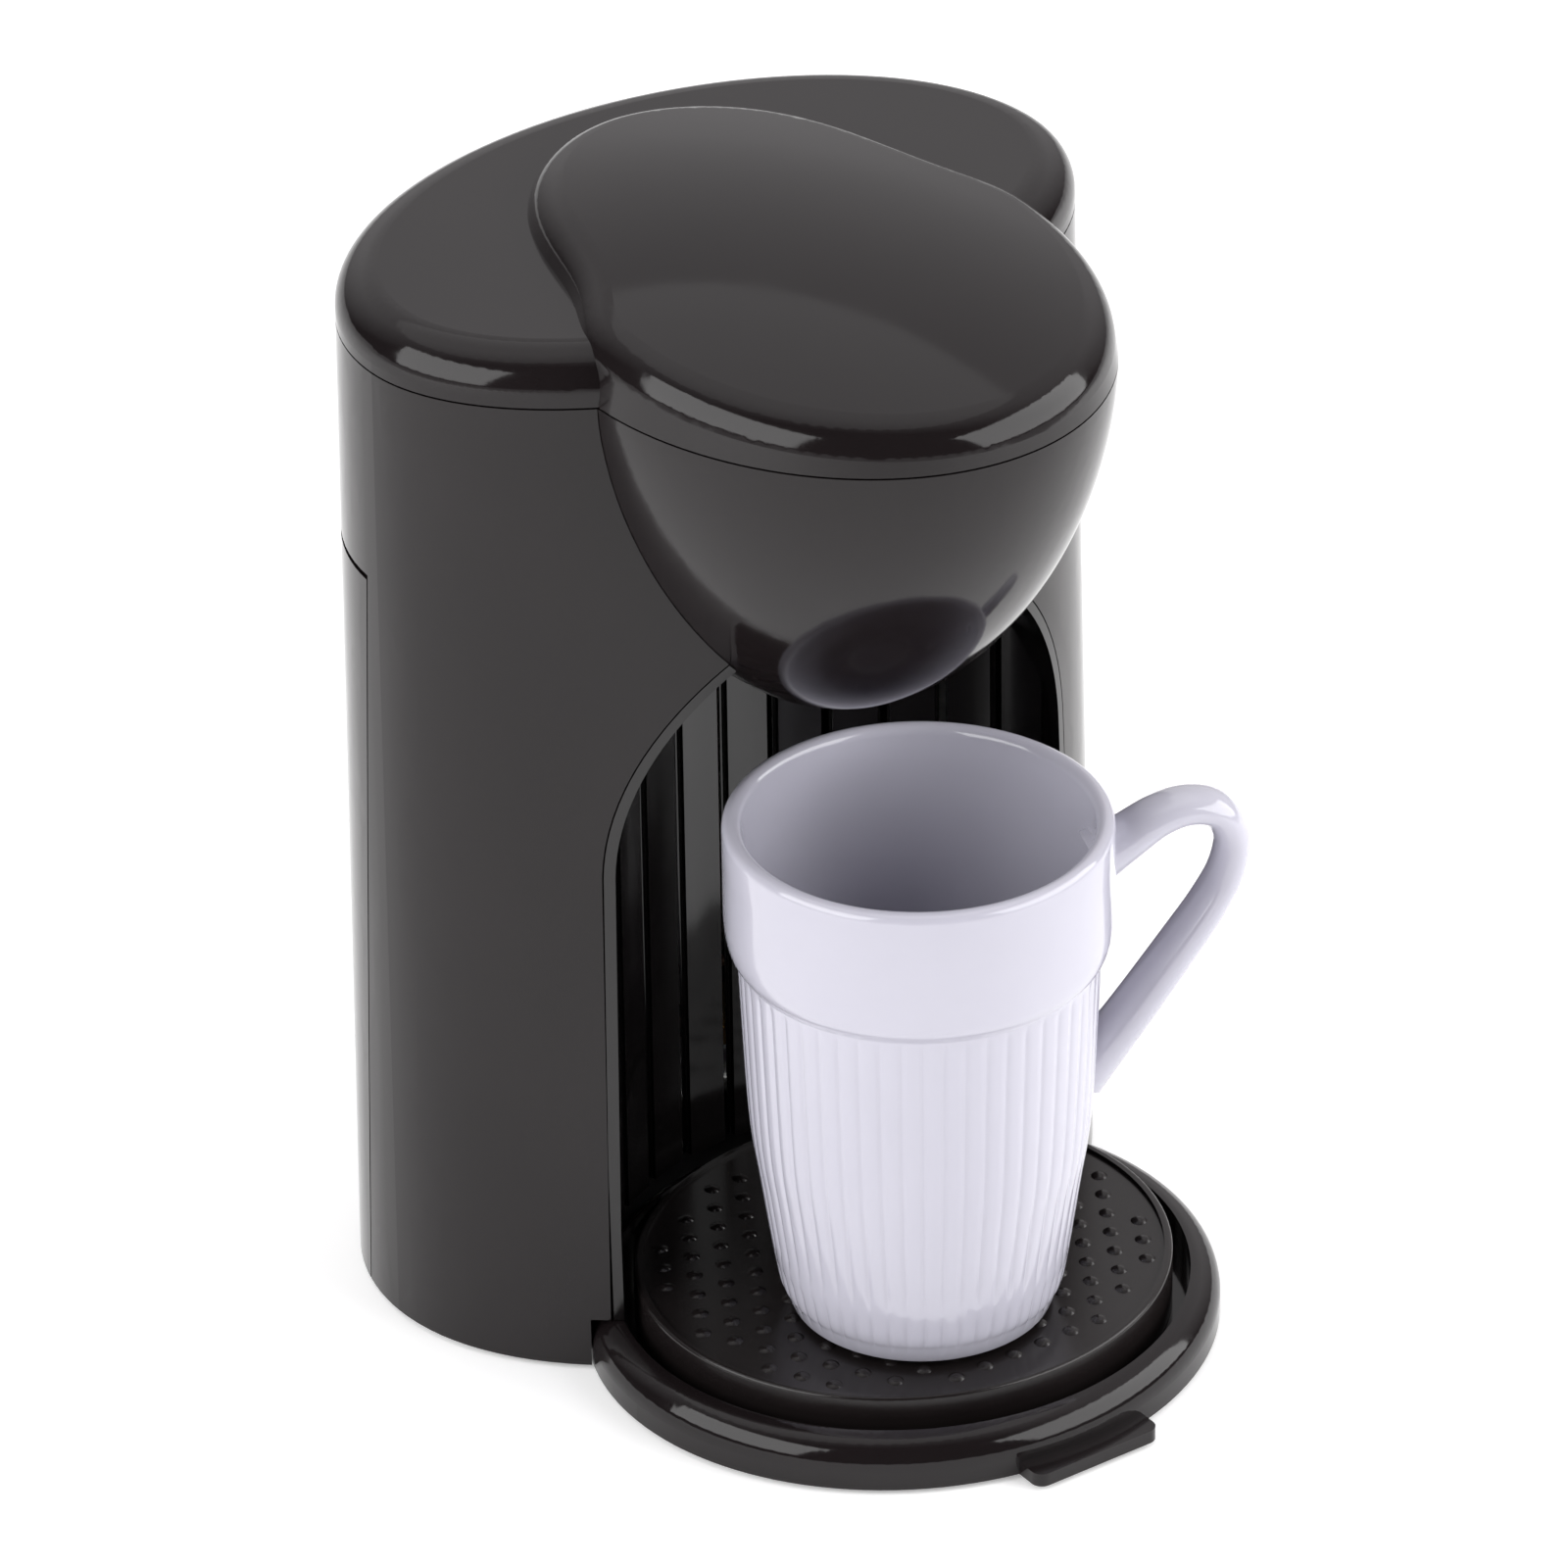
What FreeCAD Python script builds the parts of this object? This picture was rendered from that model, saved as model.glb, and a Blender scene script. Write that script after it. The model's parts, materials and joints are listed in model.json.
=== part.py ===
import FreeCAD, Part
import math
import os
import re

import Sketcher
from FreeCAD import Matrix, Placement, Rotation, Vector

# One-cup drip coffee maker. +Z is up, -Y is the front that faces the user, +X is the user's right.
# The origin lies on the table under the middle of the machine.

DIMENSIONS = {
    # tower: an oval column, widest at tower_centre_y
    "tower_half_width": 83.0, "tower_rear_depth": 60.5, "tower_front_depth": 52.5,
    "foot_flare_width": 2.2, "foot_flare_rear": 4.7, "foot_flare_front": 10.0,
    "tower_centre_y": 34.0, "tower_wall": 2.5, "skirt_height": 1.0,
    "parting_height": 224.0, "parting_gap": 0.4, "fit_gap": 0.3,
    "cover_top": 176.0, "cover_seam_top_y": 38.0, "cover_seam_foot_y": 48.0, "cover_slot": 1.2,
    # brew head: a bowl hanging over the cup
    "head_half_width": 55.0, "head_front_depth": 66.6, "head_rear_depth": 42.0,
    "head_centre_y": -4.6, "bowl_drop": 82.6, "bowl_power": 1.78, "bowl_wall": 2.3,
    "outlet_y": -12.0, "outlet_radius": 7.5,
    # lid
    "lid_top": 235.2, "lid_edge_radius": 9.0, "lid_wall": 2.3, "dome_tip_y": 75.5,
    "dome_draft": 0.15, "crest_height": 246.5, "crest_y": 20.0,
    "crown_length_radius": 300.0, "crown_cross_radius": 180.0, "dome_rear_fillet": 3.0,
    "hinge_y": 96.0, "hinge_z": 222.6, "knuckle_radius": 3.2, "pin_radius": 1.5,
    # cup bay
    "bay_radius": 60.0, "bay_centre_y": -26.0, "arch_radius": 56.0, "arch_spring": 115.0,
    "arch_foot": 58.5, "liner_wall": 2.0, "flute_pitch": 11.5, "flute_radius": 1.5,
    # base and drip tray
    "base_half_width": 68.0, "base_depth": 64.0, "base_height": 11.8, "base_edge_radius": 6.5,
    "base_wall": 2.4, "tray_centre_y": -30.0, "recess_floor": 4.4, "groove_width": 3.8,
    "tab_half_width": 15.5, "tab_reach": 99.2, "tab_height": 4.0,
    "tray_half_width": 57.6, "tray_half_depth": 54.5, "tray_bottom": 4.7, "tray_rim_top": 17.0,
    "tray_floor_top": 16.2, "tray_wall": 2.0, "tray_rim_width": 1.7,
    "dimple_pitch": 7.3, "dimple_radius": 1.75, "dimple_height": 0.75,
    "foot_radius": 7.0, "foot_height": 3.0, "plate_bottom": 3.0, "plate_thickness": 1.8,
    # water side
    "tank_top": 222.0, "tank_floor": 132.0, "tank_front_y": 42.0, "tank_half_width": 56.0,
    "tank_wall": 2.0, "tank_gap": 4.5, "deck_top": 222.6, "deck_thickness": 1.8,
    "riser_x": 66.5, "riser_y": 48.0, "riser_top": 222.4,
    "valve_x": 22.0, "valve_y": 76.0, "hose_radius": 6.2, "hose_bore": 4.65, "hose_bend": 14.0,
    "heater_bend": 12.0, "heater_front_y": 48.0,
    "heater_rear_x": 6.0, "heater_front_x": 30.0,
    "heater_z": 26.0, "heater_left_x": -24.0, "heater_radius": 4.5, "heater_bore": 3.0,
    "element_radius": 3.4, "element_drop": 8.1,
    # brewing pieces
    "basket_radius": 43.0, "basket_top": 219.0, "basket_wall": 1.6, "basket_neck_radius": 5.0,
    "filter_radius": 39.5, "filter_top": 217.0, "filter_foot": 166.0, "filter_foot_radius": 20.0,
    "mesh_thickness": 0.6,
    # mug
    "mug_x": -6.2, "mug_y": -45.2, "mug_foot_z": 17.3, "mug_height": 114.9, "mug_radius": 40.0,
    "mug_wall": 3.8, "handle_turn": -20.6,
    # power switch and cord inlet
    "switch_y": 28.0, "switch_z": 44.0, "switch_half_width": 6.5, "switch_half_height": 10.5,
    "switch_face_x": 80.9, "rocker_tilt": 9.0, "inlet_x": -30.0, "inlet_z": 22.0,
    "screw_head_radius": 3.2, "screw_shank_radius": 1.6,
}

doc = FreeCAD.newDocument("DripCoffeeMaker")
sheet = doc.addObject("Spreadsheet::Sheet", "Dimensions")
for row, (alias, value) in enumerate(DIMENSIONS.items(), start=1):
    sheet.set("A%d" % row, alias)
    sheet.set("B%d" % row, str(value))
    sheet.setAlias("B%d" % row, alias)
doc.recompute()


def size(alias):
    """A driving dimension, read from the sheet."""
    return float(sheet.get(alias))


def formula(text):
    """An expression for setExpression: the sheet's aliases get the sheet's name in front."""
    def qualified(word):
        return "Dimensions." + word.group() if word.group() in DIMENSIONS else word.group()
    return re.sub(r"[a-z][a-z_0-9]*", qualified, str(text))


sub_parts = []


def sub_part(name, piece):
    """Keep a piece as a sub-part of its own: its Label is the node's name."""
    piece.Label = name
    sub_parts.append(piece)
    return piece


# ---------------------------------------------------------------- parametric helpers

def place(piece, at, turn=None):
    """Put a piece at a point whose coordinates are expressions, after an optional rotation."""
    if turn:
        axis, angle = turn
        piece.Placement = Placement(Vector(), Rotation(Vector(*axis), angle))
    for axis_name, text in zip("xyz", at):
        piece.setExpression("Placement.Base." + axis_name, formula(text))
    return piece


def primitive(kind, name, at=(0, 0, 0), turn=None, **sizes):
    """A Part primitive with every size bound to the sheet."""
    piece = doc.addObject("Part::" + kind, name)
    for prop, text in sizes.items():
        piece.setExpression(prop, formula(text))
    return place(piece, at, turn)


def block(name, low, high):
    """A box between two corners, each a triple of expressions."""
    length, width, height = ("(%s) - (%s)" % (b, a) for a, b in zip(low, high))
    return primitive("Box", name, low, Length=length, Width=width, Height=height)


def cut(name, base, *tools):
    """Base minus the tools."""
    piece = doc.addObject("Part::Cut", name)
    piece.Base = base
    piece.Tool = tools[0] if len(tools) == 1 else fuse(name + "_tools", *tools)
    return piece


def fuse(name, *shapes):
    piece = doc.addObject("Part::MultiFuse", name)
    piece.Shapes = list(shapes)
    return piece


def group(name, shapes):
    """Several separate solids kept together in one sub-part."""
    piece = doc.addObject("Part::Compound", name)
    piece.Links = list(shapes)
    return piece


def common(name, *shapes):
    piece = doc.addObject("Part::MultiCommon", name)
    piece.Shapes = list(shapes)
    return piece


def feature(name, shape):
    """A free-form piece whose shape is worked out below from the sheet."""
    piece = doc.addObject("Part::Feature", name)
    piece.Shape = shape
    piece.Placement = Placement()
    return piece


def origin_plane(body, role):
    return next(item for item in body.Origin.OriginFeatures if item.Role == role)


def profile_sketch(body, name, role, corners):
    """A closed polygon whose corner coordinates are bound to the sheet."""
    sketch = body.newObject("Sketcher::SketchObject", name)
    sketch.AttachmentSupport = [(origin_plane(body, role), "")]
    sketch.MapMode = "FlatFace"
    points = [Vector(evaluate(x), evaluate(y), 0) for x, y in corners]
    for start, end in zip(points, points[1:] + points[:1]):
        sketch.addGeometry(Part.LineSegment(start, end), False)
    count = len(points)
    for index in range(count):
        sketch.addConstraint(Sketcher.Constraint("Coincident", index, 2, (index + 1) % count, 1))
    for index, corner in enumerate(corners):
        for kind, text, value in zip(("DistanceX", "DistanceY"), corner, points[index]):
            if abs(value) < 1e-9:
                axis = -2 if kind == "DistanceX" else -1
                sketch.addConstraint(Sketcher.Constraint("PointOnObject", index, 1, axis))
                continue
            number = sketch.addConstraint(Sketcher.Constraint(kind, -1, 1, index, 1, value))
            label = "%s_%d" % (kind, index)
            sketch.renameConstraint(number, label)
            sketch.setExpression("Constraints." + label, formula(text))
    return sketch


def evaluate(text):
    """The number that an expression over the sheet's aliases stands for."""
    probe = doc.getObject("Probe") or doc.addObject("App::FeaturePython", "Probe")
    if not hasattr(probe, "Number"):
        probe.addProperty("App::PropertyFloat", "Number")
    return float(probe.evalExpression(formula(text)))


def turned(name, corners, at=(0, 0, 0), turn=None):
    """A body of revolution: corners are (radius, height) pairs round the vertical axis."""
    body = doc.addObject("PartDesign::Body", name)
    sketch = profile_sketch(body, name + "_profile", "XZ_Plane", corners)
    doc.recompute()
    revolution = body.newObject("PartDesign::Revolution", name + "_turn")
    revolution.Profile = sketch
    revolution.ReferenceAxis = (sketch, ["V_Axis"])
    revolution.Angle = 360.0
    body.Tip = revolution
    return place(body, at, turn)


# ---------------------------------------------------------------- shape helpers

def half_ellipse(centre, half_width, depth, side):
    """Half an ellipse about centre: the rear half for side 1, the front half for side -1."""
    across = Vector(side * half_width, 0, 0)
    along = Vector(0, side * depth, 0)
    if half_width >= depth:
        return Part.Arc(Part.Ellipse(centre + across, centre + along, centre), 0, math.pi).toShape()
    ellipse = Part.Ellipse(centre + along, centre - across, centre)
    return Part.Arc(ellipse, -math.pi / 2, math.pi / 2).toShape()


def oval(half_width, rear, front, centre_y, height):
    """A closed outline of two half ellipses that share their widest line."""
    centre = Vector(0, centre_y, height)
    return Part.Wire([half_ellipse(centre, half_width, rear, 1),
                      half_ellipse(centre, half_width, front, -1)])


def oval_prism(half_width, rear, front, centre_y, low, high):
    face = Part.Face(oval(half_width, rear, front, centre_y, low))
    return face.extrude(Vector(0, 0, high - low))


def tower_axes(height):
    """Half width, rear depth and front depth of the tower's oval: it widens to the foot."""
    fall = 1 - height / size("parting_height")
    return (size("tower_half_width") + fall * size("foot_flare_width"),
            size("tower_rear_depth") + fall * size("foot_flare_rear"),
            size("tower_front_depth") + fall * size("foot_flare_front"))


def tower_solid(inset, low, high):
    """The tower's column between two heights, inset from its outer skin."""
    outlines = []
    for height in (low, high):
        half_width, rear, front = tower_axes(height)
        outlines.append(oval(half_width - inset, rear - inset, front - inset,
                             size("tower_centre_y"), height))
    return Part.makeLoft(outlines, True, True)


def egg(inset, height):
    """The dome's outline: half an ellipse in front and a tapering, round-nosed curve behind."""
    half_width = size("head_half_width")
    centre = Vector(0, size("head_centre_y"), height)
    rear = size("dome_tip_y") - centre.y
    # share of the half width and of the rear reach at points down one flank
    flank = ((1.0, 0.0), (0.865, 0.26), (0.72, 0.56), (0.5, 0.835), (0.0, 1.0))
    flank += tuple((-across, along) for across, along in flank[-2::-1])
    points = [centre + Vector(across * (half_width - inset), along * (rear - inset), 0)
              for across, along in flank]
    curve = Part.BSplineCurve()
    curve.interpolate(points, InitialTangent=Vector(0, 1, 0), FinalTangent=Vector(0, -1, 0))
    front = half_ellipse(centre, half_width - inset, size("head_front_depth") - inset, -1)
    return Part.Wire([curve.toShape(), front])


def crown_solid(drop):
    """Everything below the dome's gently crowned top, lowered by drop."""
    top = size("crest_height") - drop
    reach = 1.6 * size("head_half_width")
    depth = 60.0
    swing = 20.0
    cross = size("crown_cross_radius") - drop
    sag = cross - math.sqrt(cross ** 2 - reach ** 2)
    y = size("crest_y")
    left, crest, right = (Vector(-reach, y, top - sag), Vector(0, y, top), Vector(reach, y, top - sag))
    low_left, low_right = (Vector(x, y, top - depth) for x in (-reach, reach))
    wire = Part.Wire([Part.Arc(left, crest, right).toShape(), Part.makeLine(right, low_right),
                      Part.makeLine(low_right, low_left), Part.makeLine(low_left, left)])
    face = Part.Face(wire)
    pivot = Vector(0, y, size("crest_height") - size("crown_length_radius"))
    face.rotate(pivot, Vector(1, 0, 0), -swing)
    return face.revolve(pivot, Vector(1, 0, 0), 2 * swing)


def crown_height(x, y, drop=0.0):
    """Height of the crowned top over a point in plan."""
    cross = size("crown_cross_radius") - drop
    length = size("crown_length_radius")
    radius = length - drop - cross + math.sqrt(cross ** 2 - x ** 2)
    return size("crest_height") - length + math.sqrt(radius ** 2 - (y - size("crest_y")) ** 2)


def dome_solid(inset, drop):
    """The egg-shaped dome from just over the parting line to its crowned top."""
    low = size("parting_height") + size("parting_gap") / 2 - (1.0 if inset else 0.0)
    high = size("crest_height") + 5.0
    lean = size("dome_draft") * (high - low)
    flanks = Part.makeLoft([egg(inset, low), egg(inset + lean, high)], True, True)
    dome = flanks.common(crown_solid(drop)).Solids[0]
    front_radius = size("lid_edge_radius") - drop
    rear_radius = max(size("dome_rear_fillet") - drop, 0.6)
    chosen = []
    for number, edge in enumerate(dome.Edges, start=1):
        ends = [edge.valueAt(edge.FirstParameter), edge.valueAt(edge.LastParameter)]
        middle = edge.valueAt((edge.FirstParameter + edge.LastParameter) / 2)
        if all(abs(crown_height(p.x, p.y, drop) - p.z) < 0.02 for p in ends + [middle]):
            widest = size("head_centre_y") + 5.0
            radii = [front_radius if p.y < widest else rear_radius for p in ends]
            chosen.append((number, radii[0], radii[1]))
    base = feature("DomeBlank", dome)
    rounded = doc.addObject("Part::Fillet", "DomeRounded")
    rounded.Base = base
    rounded.Edges = chosen
    doc.recompute()
    shape = rounded.Shape.copy()
    doc.removeObject(rounded.Name)
    doc.removeObject(base.Name)
    return shape


def bowl_solid(inset, top):
    """The brew head's bowl: a superellipse turned about Z and stretched to the front."""
    width = size("head_half_width") - inset
    drop = size("bowl_drop") - inset
    power = size("bowl_power")
    parting = size("parting_height")
    steps = 10
    curve = Part.BSplineCurve()
    swing = [math.pi / 2 * step / steps for step in range(steps + 1)]
    points = [Vector(width * math.cos(a) ** (2 / power), 0, -drop * math.sin(a) ** (2 / power))
              for a in swing]
    curve.interpolate(points, InitialTangent=Vector(0, 0, -1), FinalTangent=Vector(-1, 0, 0))
    wire = Part.Wire([curve.toShape(), Part.makeLine(points[-1], Vector()),
                      Part.makeLine(Vector(), points[0])])
    halves = []
    for side, depth in ((-1, size("head_front_depth")), (1, size("head_rear_depth"))):
        half = Part.Face(wire).revolve(Vector(), Vector(0, 0, 1), side * 180)
        stretch = Matrix()
        stretch.A22 = (depth - inset) / width
        halves.append(half.transformGeometry(stretch))
    bowl = halves[0].fuse(halves[1])
    bowl.translate(Vector(0, size("head_centre_y"), parting))
    lowered = Part.makeBox(400, 400, 200, Vector(-200, -200, top))
    return bowl.cut(lowered).Solids[0]


def arch_prism(growth, low, front_y, rear_y):
    """The cup bay's opening seen from the front: straight legs under a round arch."""
    radius = size("arch_radius") + growth
    spring = size("arch_spring")
    foot = size("arch_foot") + growth
    corners = [Vector(-radius, front_y, spring), Vector(-foot, front_y, low),
               Vector(foot, front_y, low), Vector(radius, front_y, spring)]
    arc = Part.Arc(corners[3], Vector(0, front_y, spring + radius), corners[0]).toShape()
    sides = [Part.makeLine(a, b) for a, b in zip(corners, corners[1:])]
    return Part.Face(Part.Wire(sides + [arc])).extrude(Vector(0, rear_y - front_y, 0))


def bay_solid(growth, low):
    """The space that the cup stands in, grown by growth."""
    column = Part.makeCylinder(size("bay_radius") + growth, 250, Vector(0, size("bay_centre_y"), low))
    return column.common(arch_prism(growth, low, -110, 60))


def bent_path(points, bend):
    """Straight runs joined by tangent arcs of one radius."""
    edges = []
    start = points[0]
    for before, corner, after in zip(points, points[1:], points[2:]):
        arriving = (corner - before).normalize()
        leaving = (after - corner).normalize()
        turn = arriving.getAngle(leaving)
        setback = bend * math.tan(turn / 2)
        entry = corner - arriving * setback
        exit_point = corner + leaving * setback
        inward = (leaving - arriving).normalize()
        centre = corner + inward * (bend / math.cos(turn / 2))
        middle = centre - inward * bend
        edges.append(Part.makeLine(start, entry))
        edges.append(Part.Arc(entry, middle, exit_point).toShape())
        start = exit_point
    edges.append(Part.makeLine(start, points[-1]))
    return Part.Wire(edges)


def rod_along(path, radius):
    """A round rod swept along a path."""
    first = path.Edges[0]
    start = first.valueAt(first.FirstParameter)
    heading = first.tangentAt(first.FirstParameter)
    ring = Part.Wire([Part.makeCircle(radius, start, heading)])
    return path.makePipeShell([ring], True, False)


def tube_along(path, radius, bore):
    return rod_along(path, radius).cut(rod_along(path, bore))


# ---------------------------------------------------------------- housing

def build_housing():
    top = size("parting_height") - size("parting_gap") / 2
    foot = size("skirt_height")
    wall = size("tower_wall")
    gap = size("fit_gap")
    skin = tower_solid(0, foot, top).cut(tower_solid(wall, -1, size("parting_height") + 2))

    seam_top = size("cover_seam_top_y")
    seam_foot = size("cover_seam_foot_y")
    cover_top = size("cover_top")

    def behind_seam(offset, high):
        corners = [Vector(-100, seam_foot + offset, -5), Vector(-100, seam_top + offset, high),
                   Vector(-100, 120, high), Vector(-100, 120, -5)]
        return Part.Face(Part.makePolygon(corners + corners[:1])).extrude(Vector(200, 0, 0))

    base_clear = oval_prism(size("base_half_width") + gap, size("base_depth") + gap,
                            size("base_depth") + gap, size("tray_centre_y"), -1,
                            size("base_height") + gap)
    switch_window = Part.makeBox(
        20, 2 * size("switch_half_width") + 2 * gap, 2 * size("switch_half_height") + 2 * gap,
        Vector(70, size("switch_y") - size("switch_half_width") - gap,
               size("switch_z") - size("switch_half_height") - gap))
    housing = skin.cut(behind_seam(0, cover_top))
    housing = housing.cut(arch_prism(size("liner_wall") + size("fit_gap"), -5, -110, 20))
    housing = housing.cut(bowl_solid(-0.15, size("parting_height") + 1))
    housing = housing.cut(base_clear)
    housing = housing.cut(switch_window)
    housing = housing.cut(hinge_relief("lid"))
    lugs = screw_bosses(screw_spots()[:2])
    for low_x, high_x in hinge_spans("tower"):
        barrel = Part.makeCylinder(size("knuckle_radius"), high_x - low_x,
                                   Vector(low_x, size("hinge_y"), size("hinge_z")), Vector(1, 0, 0))
        rear = size("tower_centre_y") + size("tower_rear_depth") - wall / 2
        web_foot = top - 9
        web = Part.makeBox(high_x - low_x, size("hinge_y") + size("knuckle_radius") - rear,
                           size("hinge_z") - web_foot, Vector(low_x, rear, web_foot))
        lugs.append(barrel.fuse(web))
    housing = housing.fuse(lugs)
    bore = Part.makeCylinder(size("pin_radius") + 0.1, 80, Vector(-40, size("hinge_y"), size("hinge_z")),
                             Vector(1, 0, 0))
    housing = housing.cut(bore)
    sub_part("tower_housing", feature("TowerHousing", largest(housing)))

    cover = skin.common(behind_seam(size("cover_slot") * 0.4, cover_top - size("cover_slot")))
    spot, outward = inlet_spot()
    inlet = Part.makeCylinder(6.2, 20, spot - outward * 10, outward)
    cover = cover.cut(inlet)
    slots = [Part.makeBox(26, 60, 2.2, Vector(-13, 60, 60 + 6 * row)) for row in range(5)]
    cover = cover.cut(Part.makeCompound(slots))
    cover = largest(cover).fuse(screw_bosses(screw_spots()[2:]))
    sub_part("rear_cover", feature("RearCover", largest(cover)))


def inlet_spot():
    """Where the cord enters through the rear cover, and the direction square to the wall there."""
    x = size("inlet_x")
    half_width, depth, _ = tower_axes(size("inlet_z"))
    rise = math.sqrt(1 - (x / half_width) ** 2)
    spot = Vector(x, size("tower_centre_y") + depth * rise, size("inlet_z"))
    return spot, Vector(x / half_width ** 2, rise / depth, 0).normalize()


def hinge_relief(owner):
    """Room round the hinge line for the other part's knuckles."""
    rooms = [Part.makeCylinder(size("knuckle_radius") + 0.4, high_x - low_x + 0.6,
                               Vector(low_x - 0.3, size("hinge_y"), size("hinge_z")),
                               Vector(1, 0, 0)) for low_x, high_x in hinge_spans(owner)]
    return Part.makeCompound(rooms)


def largest(shape):
    return max(shape.Solids, key=lambda solid: solid.Volume)


def hinge_spans(owner):
    """X spans of the hinge knuckles, the tower's and the lid's in turn."""
    step = 9.0
    clearance = 0.3
    spans = []
    for index in range(-2, 3):
        mine = "tower" if index % 2 == 0 else "lid"
        if mine == owner:
            spans.append((index * step - step / 2 + clearance, index * step + step / 2 - clearance))
    return spans


def build_bay():
    low = size("base_height") + size("fit_gap")
    wall = size("liner_wall")
    inside = tower_solid(size("tower_wall") + 0.2, low, size("parting_height"))
    # the liner reaches the tower's outer skin at the edge of the opening
    edge_zone = tower_solid(0, low, size("parting_height")).common(
        arch_prism(wall, low - 1, -110, 20))
    envelope = inside.fuse(edge_zone)
    liner = bay_solid(wall, low).cut(bay_solid(0, low - 1)).common(envelope)
    liner = liner.cut(bowl_solid(-size("fit_gap"), size("parting_height")))
    flutes = []
    for index in range(-6, 7):
        angle = math.radians(index * size("flute_pitch"))
        radius = size("bay_radius") + 0.7
        foot = Vector(radius * math.sin(angle), size("bay_centre_y") + radius * math.cos(angle), 0)
        flutes.append(Part.makeCylinder(size("flute_radius"), 200, foot))
    liner = liner.cut(Part.makeCompound(flutes))
    sub_part("bay_liner", feature("BayLiner", largest(liner)))


def build_base():
    gap = size("fit_gap")
    y = size("tray_centre_y")
    half_width, depth, height = size("base_half_width"), size("base_depth"), size("base_height")
    foot = size("skirt_height")
    block_shape = oval_prism(half_width, depth, depth, y, foot, height)
    rim = [edge for edge in block_shape.Edges if edge.BoundBox.ZMin > height - 0.01]
    body = block_shape.makeFillet(size("base_edge_radius"), rim)
    tab = Part.makeBox(2 * size("tab_half_width"), 20, size("tab_height") - foot,
                       Vector(-size("tab_half_width"), -size("tab_reach"), foot))
    corners = [edge for edge in tab.Edges
               if edge.BoundBox.YMax < -size("tab_reach") + 0.01 and edge.BoundBox.XLength < 0.01]
    tab = tab.makeFillet(2.5, corners)
    body = body.fuse(tab)
    recess_width = size("tray_half_width") + size("groove_width")
    recess_depth = size("tray_half_depth") + size("groove_width")
    recess = oval_prism(recess_width, recess_depth, recess_depth, y, size("recess_floor"), height + 5)
    floor = size("recess_floor")
    wall = size("base_wall")
    under_floor = oval_prism(half_width - wall, depth - wall, depth - wall, y, foot - 1, floor - 1.4)
    body = body.cut(recess).cut(under_floor)
    sub_part("base_housing", feature("BaseHousing", largest(body)))

    low, thick = size("plate_bottom"), size("plate_thickness")
    plate = tower_solid(size("tower_wall") + gap, low, low + thick)
    plate = plate.cut(oval_prism(half_width + gap, depth + gap, depth + gap, y, -1, height + 1))
    holes = [Part.makeCylinder(size("screw_shank_radius") + 0.2, 20, Vector(x, y, -5))
             for x, y in screw_spots()]
    plate = plate.cut(Part.makeCompound(holes))
    sub_part("bottom_plate", feature("BottomPlate", largest(plate)))


def screw_spots():
    """Plan positions of the four screws that hold the bottom plate."""
    return [(-77.5, 22), (77.5, 22), (-40, 85), (40, 85)]


def screw_bosses(spots):
    """Hollow posts on the inside of the wall that the screws go into."""
    low = size("plate_bottom") + size("plate_thickness") + 0.2
    posts = []
    for x, y in spots:
        post = Part.makeCylinder(5, 10, Vector(x, y, low))
        posts.append(post.cut(Part.makeCylinder(size("screw_shank_radius") + 0.1, 9, Vector(x, y, low))))
    return posts


def build_head():
    outer = bowl_solid(0, size("parting_height") - size("parting_gap") / 2)
    bowl = outer.cut(bowl_solid(size("bowl_wall"), size("parting_height") + 5))
    outlet = Part.makeCylinder(size("outlet_radius"), 60, Vector(0, size("outlet_y"), 130))
    sub_part("brew_head", feature("BrewHead", largest(bowl.cut(outlet))))

    top = size("deck_top")
    deck = tower_solid(size("tower_wall") + size("fit_gap"), top - size("deck_thickness"), top)
    deck = deck.cut(bowl_solid(-size("fit_gap"), top + 2))
    deck = deck.cut(tank_solid(-size("fit_gap"), 200, 230))
    riser = Part.makeCylinder(8.6, 20, Vector(size("riser_x"), size("riser_y"), 210))
    sub_part("top_deck", feature("TopDeck", largest(deck.cut(riser))))


def tank_solid(inset, low, high):
    """The water tank's D-shaped outline: flat in front, following the tower's wall behind."""
    margin = size("tower_wall") + size("tank_gap") + inset
    half_width = size("tank_half_width") - inset
    front = size("tank_front_y") + inset
    column = oval_prism(size("tower_half_width") - margin, size("tower_rear_depth") - margin,
                        size("tower_rear_depth") - margin, size("tower_centre_y"), low, high)
    body = column.common(Part.makeBox(2 * half_width, 100, high - low, Vector(-half_width, front, low)))
    upright = [edge for edge in body.Edges if edge.BoundBox.ZLength > high - low - 0.1
               and edge.BoundBox.XLength < 0.1]
    return body.makeFillet(max(5 - inset, 1), upright)


def build_tank():
    low, top = size("tank_floor"), size("tank_top")
    wall = size("tank_wall")
    tank = tank_solid(0, low, top).cut(tank_solid(wall, low + wall, top + 5))
    spout_at = Vector(size("valve_x"), size("valve_y"), low - 8)
    tank = tank.fuse(Part.makeCylinder(5, 9, spout_at)).cut(Part.makeCylinder(3, 12, spout_at))
    sub_part("water_tank", feature("WaterTank", largest(tank)))
    valve_top = "tank_floor - 9.6"
    seal = turned("ValveSeal", [("3.0", "0"), ("5.0", "0"), ("5.0", "1.2"), ("3.0", "1.2")],
                  ("valve_x", "valve_y", "tank_floor - 9.4"))
    sub_part("valve_seal", seal)
    valve = turned("CheckValve", [("2.0", "-24"), ("hose_bore - 0.15", "-24"),
                                  ("hose_bore - 0.15", "-14"), ("7.0", "-14"), ("7.0", "0"),
                                  ("2.0", "0")], ("valve_x", "valve_y", valve_top))
    sub_part("check_valve", valve)


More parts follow.
